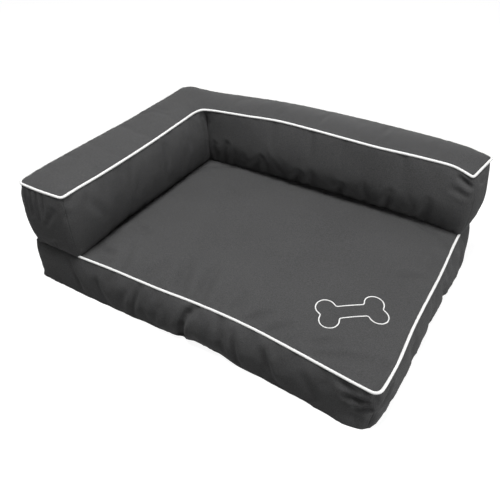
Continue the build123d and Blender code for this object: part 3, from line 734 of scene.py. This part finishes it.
def cordPaint(name):
    paint = Paint(name)
    cloth, (u, v, _) = paint.place("cloth")
    strand = (v * 1.6 + u).ridges(cord["strand"])
    fibre = paint.noise(cloth, 1800.0)
    return paint.finish(
        Base_Color=paint.mix(strand * 0.7 + fibre * 0.3, cord["between"], cord["cotton"]),
        Roughness=fibre * 0.1 + 0.8, Normal=paint.bump(strand + fibre * 0.3, 0.0004, 0.7))


thread = {"ply": 0.0005, "bright": (0.9, 0.9, 0.89, 1), "shaded": (0.7, 0.7, 0.69, 1)}


def threadPaint(name):  # the glossy white thread of the stitched outline
    paint = Paint(name)
    cloth, (u, v, _) = paint.place("cloth")
    ply = (u * 2 + v).ridges(thread["ply"])
    tint = paint.noise(cloth, 90.0)
    return paint.finish(
        Base_Color=paint.mix(tint * 0.5 + (1 - ply) * 0.2, thread["bright"], thread["shaded"]),
        Roughness=ply * 0.1 + 0.38, Normal=paint.bump(ply, 0.0001, 0.5), Sheen_Weight=0.2)


foam = {"low": (0.62, 0.57, 0.42, 1), "high": (0.8, 0.76, 0.62, 1), "pores": 420.0, "relief": 0.0008}
wadding = {"low": (0.66, 0.66, 0.65, 1), "high": (0.86, 0.86, 0.85, 1), "pores": 120.0, "relief": 0.003}


def fillingPaint(name, look):
    paint = Paint(name)
    point, _ = paint.place()
    pores, drift = paint.noise(point, look["pores"], 6.0, 0.75), paint.noise(point, 14.0, 3.0)
    return paint.finish(
        Base_Color=paint.mix(pores * 0.7 + drift * 0.3, look["low"], look["high"]),
        Roughness=pores * 0.08 + 0.86, Normal=paint.bump(pores, look["relief"], 0.7))


tape = {"rib": 0.0011, "herringbone": 0.004, "low": (0.01, 0.01, 0.011, 1), "high": (0.045, 0.045, 0.047, 1)}


def tapePaint(name):  # knitted herringbone tape
    paint = Paint(name)
    point, (x, _, z) = paint.place()
    slant = abs(z % tape["herringbone"] - tape["herringbone"] / 2) * 1.5
    rib = (x + slant).ridges(tape["rib"])
    fibre = paint.noise(point, 1400.0)
    return paint.finish(
        Base_Color=paint.mix(rib * 0.7 + fibre * 0.3, tape["low"], tape["high"]),
        Roughness=fibre * 0.15 + 0.7, Normal=paint.bump(rib + fibre * 0.3, 0.0002, 0.6))


coil = {"low": (0.012, 0.012, 0.013, 1), "high": (0.035, 0.035, 0.036, 1)}


def coilPaint(name):
    paint = Paint(name)
    point, _ = paint.place()
    rub = paint.noise(point, 260.0, 3.0)
    return paint.finish(Base_Color=paint.mix(rub, coil["low"], coil["high"]), Roughness=rub * 0.2 + 0.28,
                        Normal=paint.bump(rub, 0.00005, 0.4))


metal = {"low": (0.3, 0.3, 0.31, 1), "high": (0.52, 0.52, 0.53, 1)}


def metalPaint(name):
    paint = Paint(name)
    point, _ = paint.place()
    rub, pits = paint.noise(point, 180.0, 4.0), paint.noise(point, 1500.0)
    return paint.finish(Base_Color=paint.mix(rub, metal["low"], metal["high"]), Metallic=1.0,
                        Roughness=rub * 0.22 + 0.2, Normal=paint.bump(pits, 0.00004, 0.3))


finish = {
    "charcoal_fabric": weavePaint("charcoalCloth"), "non_slip_base": gripPaint("gripCloth"),
    "white_piping": biasPaint("whiteBias"), "cotton_cord": cordPaint("cottonCord"),
    "foam": fillingPaint("foam", foam), "wadding": fillingPaint("wadding", wadding),
    "zip_tape": tapePaint("zipTape"), "zip_coil": coilPaint("zipCoil"), "zip_metal": metalPaint("zipMetal"),
    "thread": threadPaint("whiteThread"),
}
print("finishes mixed")


def dress(piece, slot, *nodes, material=None):
    piece.data.materials.append(finish[material or slot])
    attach(piece, "bed")
    if nodes:
        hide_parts(*nodes)
    return piece


# Cover panels, each its own piece of cloth

panelNodes = {
    "mattress": {"top": "top_panel", "front": "front_boxing", "right": "right_boxing", "left": "left_boxing",
                 "rearLower": "rear_boxing_lower", "rearUpper": "rear_boxing_upper", "bottom": "bottom_panel"},
    "bolster": {"top": "top_panel", "armInner": "arm_inner_wall", "backInner": "back_inner_wall",
                "armOuter": "arm_outer_wall", "rearLower": "rear_wall_lower", "rearUpper": "rear_wall_upper",
                "armEnd": "arm_end_panel", "backEnd": "back_end_panel", "bottom": "bottom_panel"},
}

for name, (cushion, mesh) in cushions.items():
    for panel, node in panelNodes[name].items():
        bm = bmesh.new()
        bm.from_mesh(mesh)
        layer, index = bm.faces.layers.int["panel"], panelNames.index(panel)
        bmesh.ops.delete(bm, geom=[face for face in bm.faces if face[layer] != index], context="FACES")
        part = asMesh(name + panel[0].upper() + panel[1:], bm)
        slot = "non_slip_base" if part.name == "mattressBottom" else "charcoal_fabric"
        piece = dress(newPiece(part.name, part), slot, f"{name}_{node}")
        wall = piece.modifiers.new("cloth", "SOLIDIFY")
        wall.thickness, wall.offset = bed["cloth"], -1
print("covers cut")

for name, (cover, core) in pipes.items():
    dress(cover, "white_piping", name + "_piping")
    dress(core, "cotton_cord", name + "_piping_cord")


# Fillings inside the covers

filling = {
    "gap": 0.0042, "foamLow": (-0.4235, -0.289, 0.0135), "foamHigh": (0.412, 0.3045, 0.0855), "foamRound": 0.006,
    "foamGap": 0.0006, "mitreGap": 0.0006, "overFoot": 0.0026,
    "zipRoom": 0.0026, "zipReach": 0.019, "zipPast": 0.02,  # room behind the zip's tapes, and how far it reaches
    "nookRoom": 0.005, "nookReach": 0.03,
}


def fillingOf(name, mesh, cushion):  # the cover's form drawn in, with room at the zip and at the inner corner
    copy = mesh.copy()
    copy.name = name
    setPoints(copy, meshPoints(mesh) - pointNormals(mesh) * filling["gap"])
    points, flat = meshPoints(copy), flatPoints(copy)
    near = (np.clip((filling["zipReach"] - np.abs(points[:, 2] - cushion["zip"])) / 0.006, 0, 1)
            * np.clip((cushion["slotHalf"] + filling["zipPast"] - np.abs(points[:, 0])) / 0.01, 0, 1)
            * (points[:, 1] > bed["rear"] - 0.012))
    points[:, 1] -= near * filling["zipRoom"]
    near = np.exp(-(fromNook(flat) / filling["nookReach"]) ** 2)
    points[:, :2] += (near * filling["nookRoom"])[:, None] * (-0.707, 0.707)
    points[:, 2] = np.maximum(points[:, 2], cushion["foot"] + filling["overFoot"])
    setPoints(copy, points)
    return copy


def foamBlock(name, spare=0.0):
    margin = Vector((spare, spare, spare))
    bm = bmesh.new()
    boxBetween(bm, Vector(filling["foamLow"]) - margin, Vector(filling["foamHigh"]) + margin)
    bmesh.ops.bevel(bm, geom=bm.edges[:], offset=filling["foamRound"], offset_type="OFFSET", segments=3,
                    profile=0.5, affect="EDGES", material=-1)
    if spare:  # the hollow round it
        bmesh.ops.reverse_faces(bm, faces=bm.faces[:])
    return asMesh(name, bm)


wrap = fillingOf("mattressWadding", mattressMesh, mattress)  # the wadding is hollow where the foam lies
hollow = foamBlock("hollow", filling["foamGap"])
bm = bmesh.new()
bm.from_mesh(wrap)
bm.from_mesh(hollow)
bm.to_mesh(wrap)
bm.free()
bpy.data.meshes.remove(hollow)
dress(newPiece("mattressWadding", wrap), "wadding", "mattress_wadding")
dress(newPiece("mattressFoam", foamBlock("mattressFoam")), "foam", "mattress_foam")

stuffing = fillingOf("bolsterStuffing", bolsterMesh, bolster)
nook, corner = Vector((bed["armFoot"], bed["backFoot"], 0)), Vector((bed["left"], bed["rear"], 0))
toArm = (nook - corner).cross(Vector((0, 0, 1))).normalized()  # across the mitre
for name, node, way in (("armFilling", "bolster_arm_filling", toArm), ("backFilling", "bolster_back_filling", -toArm)):
    bm = bmesh.new()
    bm.from_mesh(stuffing)
    bmesh.ops.bisect_plane(bm, geom=bm.verts[:] + bm.edges[:] + bm.faces[:], dist=1e-6,
                           plane_co=corner + way * filling["mitreGap"], plane_no=-way, clear_outer=True)
    bmesh.ops.holes_fill(bm, edges=[edge for edge in bm.edges if edge.is_boundary], sides=0)
    bmesh.ops.recalc_face_normals(bm, faces=bm.faces[:])
    dress(newPiece(name, asMesh(name, bm)), "wadding", node)
bpy.data.meshes.remove(stuffing)
print("fillings placed")


# Zip teeth: one nylon loop, repeated along each coil

teeth = {"pitch": 0.0015, "wire": 0.00036, "loop": 0.00088}
across = teeth["loop"] + teeth["wire"]

for name in cushions:
    for side in ("upper", "lower"):
        node = name + "_zip_coil_" + side
        low, high = (Vector(corner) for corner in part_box(node))
        centre = (low + high) / 2
        bm = bmesh.new()
        bmesh.ops.create_circle(bm, segments=6, radius=teeth["wire"],
                                matrix=Matrix.Translation((0, 0, teeth["loop"])))
        bmesh.ops.spin(bm, geom=bm.verts[:] + bm.edges[:], cent=(0, 0, 0), axis=(1, 0, 0),
                       dvec=(teeth["pitch"] / 8, 0, 0), angle=math.tau, steps=8, use_merge=False)
        bmesh.ops.scale(bm, vec=(1, (high.y - low.y) / 2 / across, (high.z - low.z) / 2 / across), verts=bm.verts[:])
        bmesh.ops.translate(bm, vec=(low.x + teeth["wire"], centre.y, centre.z), verts=bm.verts[:])
        bmesh.ops.recalc_face_normals(bm, faces=bm.faces[:])
        for face in bm.faces:
            face.smooth = True
        mesh = asMesh(name + "Coil" + side.capitalize(), bm)
        row = dress(newPiece(mesh.name, mesh), "zip_coil", node).modifiers.new("row", "ARRAY")
        row.use_relative_offset, row.use_constant_offset = False, True
        row.constant_offset_displace = (teeth["pitch"], 0, 0)
        row.count = round((high.x - low.x) / teeth["pitch"]) - 1
        row.use_merge_vertices, row.merge_threshold = True, 0.00002
print("zip teeth set")

for name in cushions:  # the zips' other parts stay as they are packed
    for part, slot in (("tape_upper", "zip_tape"), ("tape_lower", "zip_tape"), ("stops", "zip_metal"),
                       ("slider", "zip_metal"), ("pull", "zip_metal")):
        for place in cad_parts[f"{name}_zip_{part}"].material_slots:
            place.material = finish[slot]


# Stitched outline of a plain bone on the lying surface

bone = {"middle": (0.325, -0.17), "length": 0.142, "shaft": 0.03, "knob": 0.0205, "turn": 38.0,
        "width": 0.0015, "stitch": 0.0009, "ends": 0.8, "notch": 0.94, "lift": 0.00025}


def boneOutline():
    reach, half, knob = bone["length"] / 2 - bone["knob"], bone["shaft"] / 2, bone["knob"]
    centre = (reach, knob * bone["ends"])
    notch = centre[1] * bone["notch"]
    meetShaft = math.atan2(half - centre[1], -math.sqrt(knob ** 2 - (half - centre[1]) ** 2)) % math.tau
    meetNotch = math.atan2(-notch, math.sqrt(knob ** 2 - notch ** 2))
    quarter = [(centre[0] + knob * math.cos(a), centre[1] + knob * math.sin(a))
               for a in np.linspace(meetShaft, meetNotch, 22)]
    shaft = [(x, half) for x in np.linspace(0.0, quarter[0][0], 9)[:-1]]
    topRight = shaft + quarter
    right = topRight + [(x, -y) for x, y in reversed(topRight)]
    whole = right + [(-x, -y) for x, y in right[1:]]
    turn, (middleX, middleY) = math.radians(bone["turn"]), bone["middle"]
    return [(middleX + x * math.cos(turn) - y * math.sin(turn), middleY + x * math.sin(turn) + y * math.cos(turn))
            for x, y in whole]


lying = bmesh.new()
lying.from_mesh(mattressMesh)
ground = BVHTree.FromBMesh(lying)
lying.free()
line = np.array(boneOutline())
for _ in range(2):  # eases the line where knobs and shaft meet
    line[1:-1] = 0.25 * line[:-2] + 0.5 * line[1:-1] + 0.25 * line[2:]
    line[0] = line[-1] = 0.25 * line[-2] + 0.5 * line[0] + 0.25 * line[1]
hits = [ground.ray_cast(Vector((x, y, 0.3)), Vector((0, 0, -1)))[0] for x, y in line]
outline = [(x, y, hit.z + bone["lift"]) for (x, y), hit in zip(line, hits)]
satin = tubeAlong("boneOutline", outline, bone["width"], bone["stitch"] / 4, sides=8, closed=True, height=0.5,
                  swell=lambda z: 0.88 + 0.12 * np.cos(z * math.tau / bone["stitch"]))
dress(satin, "white_piping", material="thread")
print("outline stitched")


# Studio: a white floor and surround, one broad lamp overhead, a low one at the right and one at the rear

studio = {
    "floorSize": 6.0, "floorTone": 0.24, "floorGlow": 0.93, "skyLight": 0.08, "aim": (0, 0, 0.12),
    "lamps": {"key": ((-0.05, -0.38, 2.5), 1.1, 67), "side": ((1.9, -0.4, 0.25), 0.8, 15),  # place, width, power
              "rear": ((-0.5, 2.2, 0.4), 0.9, 16)},
}


def seenPlain(paint):  # 1 where the camera, or a mirror or glass surface, looks at it
    camera, glossy, through = (paint.node("ShaderNodeLightPath", output=ray)
                               for ray in ("Is Camera Ray", "Is Glossy Ray", "Is Transmission Ray"))
    return camera.most(glossy).most(through)


bm = bmesh.new()
bmesh.ops.create_grid(bm, x_segments=1, y_segments=1, size=studio["floorSize"])
floor = newPiece("floor", asMesh("floor", bm))
paint = Paint("floorWhite")
lit = paint.node("ShaderNodeBsdfDiffuse", inputs={"Color": (*[studio["floorTone"]] * 3, 1)})
glow = paint.node("ShaderNodeEmission", inputs={
    "Color": (1, 1, 1, 1), "Strength": seenPlain(paint) * studio["floorGlow"]})
paint.node("ShaderNodeOutputMaterial", inputs={0: paint.node("ShaderNodeAddShader", inputs={0: lit, 1: glow})})
floor.data.materials.append(paint.owner)

scene.world = bpy.data.worlds.new("studio")
sky = Paint("sky", scene.world)
seen = seenPlain(sky)
sky.node("ShaderNodeOutputWorld", inputs={0: sky.node("ShaderNodeBackground", inputs={
    "Color": (1, 1, 1, 1), "Strength": seen + (1 - seen) * studio["skyLight"]})})

for name, (place, width, power) in studio["lamps"].items():
    light = bpy.data.lights.new(name, "AREA")
    light.shape, light.size, light.energy = "DISK", width, power
    lamp = bpy.data.objects.new(name, light)
    lamp.location = place
    lamp.rotation_euler = (Vector(studio["aim"]) - Vector(place)).to_track_quat("-Z", "Y").to_euler()
    scene.collection.objects.link(lamp)
print("studio lit")


# Camera, where the photograph was taken from

view = {"place": (0.5717, -0.9377, 0.9157), "azimuth": 32.31, "elevation": 38.67, "roll": -0.99,
        "lens": 39.65}
azimuth, elevation, roll = (math.radians(view[key]) for key in ("azimuth", "elevation", "roll"))
behind = Vector((math.sin(azimuth) * math.cos(elevation), -math.cos(azimuth) * math.cos(elevation),
                 math.sin(elevation)))
sideways = (-behind).cross(Vector((0, 0, 1))).normalized()
upward = sideways.cross(-behind)
columns = (sideways * math.cos(roll) + upward * math.sin(roll),
           upward * math.cos(roll) - sideways * math.sin(roll), behind)
camera = bpy.data.objects.new("camera", bpy.data.cameras.new("camera"))
scene.collection.objects.link(camera)
camera.matrix_world = Matrix.Translation(view["place"]) @ Matrix(columns).transposed().to_4x4()
camera.data.lens = view["lens"]
scene.camera = camera
scene.view_settings.view_transform = "Standard"

print("scene ready")
